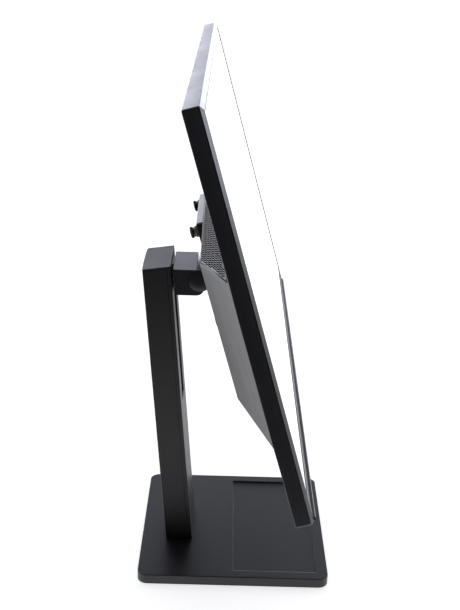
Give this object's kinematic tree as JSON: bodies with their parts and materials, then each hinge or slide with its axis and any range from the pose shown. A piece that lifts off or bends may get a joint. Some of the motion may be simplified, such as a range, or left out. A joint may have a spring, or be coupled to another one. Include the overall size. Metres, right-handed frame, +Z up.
{
  "type": "computer monitor",
  "caption": "Wide flat-screen desk monitor on a rectangular base with a leaning height-adjustable column, a tilting head, a turning mount plate and keys under the chin.",
  "frame": {"origin": "centre of the base, on the surface that its rubber feet stand on", "axes": "+Z up; the screen faces -Y; the width of the screen runs along X, with the user's right at +X"},
  "size_m": [0.611, 0.2121, 0.5648],
  "materials": {
    "base_plastic": "satin moulded",
    "column_plastic": "satin moulded",
    "head_plastic": "satin moulded",
    "cover_plastic": "fine texture",
    "bezel_plastic": "satin moulded",
    "strip_plastic": "smooth",
    "button_plastic": "satin moulded",
    "bearing_plastic": "moulded",
    "foot_rubber": "matte",
    "steel": "plated",
    "painted_steel": "powder coated",
    "rail_steel": "ground",
    "screw_metal": "dark plated",
    "screen": "matt coated, lit",
    "light_guide": "clear",
    "circuit_board": "solder mask",
    "aluminium": "machined",
    "socket_plastic": "moulded",
    "light_lens": "clear"
  },
  "bodies": {
    "base": {"base_cover": "base_plastic", "base_bottom_plate": "painted_steel", "base_weight_plate": "steel", "swivel_bearing": "bearing_plastic", "foot_front_left": "foot_rubber", "foot_front_right": "foot_rubber", "foot_rear_left": "foot_rubber", "foot_rear_right": "foot_rubber"},
    "stand": {"swivel_hub": "steel", "swivel_washer": "steel", "swivel_bolt": "rail_steel", "column_rear_shell": "column_plastic", "column_front_cover": "column_plastic", "column_top_cap": "column_plastic", "spine_foot": "steel", "column_spine": "steel", "guide_rail_left": "rail_steel", "guide_rail_right": "rail_steel", "lift_spring_tube": "painted_steel"},
    "carriage": {"lift_carriage": "aluminium", "slide_bush_left": "bearing_plastic", "slide_bush_right": "bearing_plastic", "lift_spring_rod": "rail_steel", "head_housing": "head_plastic", "head_bracket": "steel"},
    "tilt_head": {"tilt_barrel": "head_plastic", "tilt_pin": "rail_steel", "tilt_flange": "painted_steel", "pivot_hub": "steel", "pivot_keeper": "steel"},
    "display": {"mount_plate": "head_plastic", "mount_screw_upper_left": "screw_metal", "mount_screw_upper_right": "screw_metal", "mount_screw_lower_left": "screw_metal", "mount_screw_lower_right": "screw_metal", "mount_frame": "steel", "rear_cover": "cover_plastic", "vent_grille_top": "cover_plastic", "vent_grille_left": "cover_plastic", "vent_grille_right": "cover_plastic", "front_bezel": "bezel_plastic", "chin_strip": "strip_plastic", "power_light": "light_lens", "lcd_screen": "screen", "light_guide": "light_guide", "panel_tray": "steel", "main_board": "circuit_board", "power_board": "circuit_board", "power_transformer": "painted_steel", "socket_bracket": "steel", "power_inlet": "socket_plastic", "video_socket_a": "socket_plastic", "video_socket_b": "socket_plastic", "audio_socket": "socket_plastic", "button_board": "circuit_board"},
    "menu_key_1": {"menu_button_1": "button_plastic"},
    "menu_key_2": {"menu_button_2": "button_plastic"},
    "menu_key_3": {"menu_button_3": "button_plastic"},
    "power_key": {"power_button": "button_plastic"}
  },
  "joints": [
    {"name": "swivel", "type": "hinge", "parent": "base", "child": "stand", "pos_m": [0, 0.0628, 0], "axis": [0, 0, 1], "range_deg": [-45, 45]},
    {"name": "height_slide", "type": "slide", "parent": "stand", "child": "carriage", "axis": [0, 0.0819, 0.9966], "range_m": [-0.13, 0]},
    {"name": "tilt", "type": "hinge", "parent": "carriage", "child": "tilt_head", "pos_m": [0, 0.0445, 0.331], "axis": [-1, 0, 0], "range_deg": [-21, 6]},
    {"name": "pivot", "type": "hinge", "parent": "tilt_head", "child": "display", "pos_m": [0, -0.0216, 0.3601], "axis": [0, 0.9608, -0.2773], "range_deg": [0, 90]},
    {"name": "menu_key_1_press", "type": "slide", "parent": "display", "child": "menu_key_1", "axis": [0, 0.2773, 0.9608], "range_m": [0, 0.0008], "stiffness_N_per_m": 600},
    {"name": "menu_key_2_press", "type": "slide", "parent": "display", "child": "menu_key_2", "axis": [0, 0.2773, 0.9608], "range_m": [0, 0.0008], "stiffness_N_per_m": 600},
    {"name": "menu_key_3_press", "type": "slide", "parent": "display", "child": "menu_key_3", "axis": [0, 0.2773, 0.9608], "range_m": [0, 0.0008], "stiffness_N_per_m": 600},
    {"name": "power_key_press", "type": "slide", "parent": "display", "child": "power_key", "axis": [0, 0.2773, 0.9608], "range_m": [0, 0.0008], "stiffness_N_per_m": 600}
  ]
}
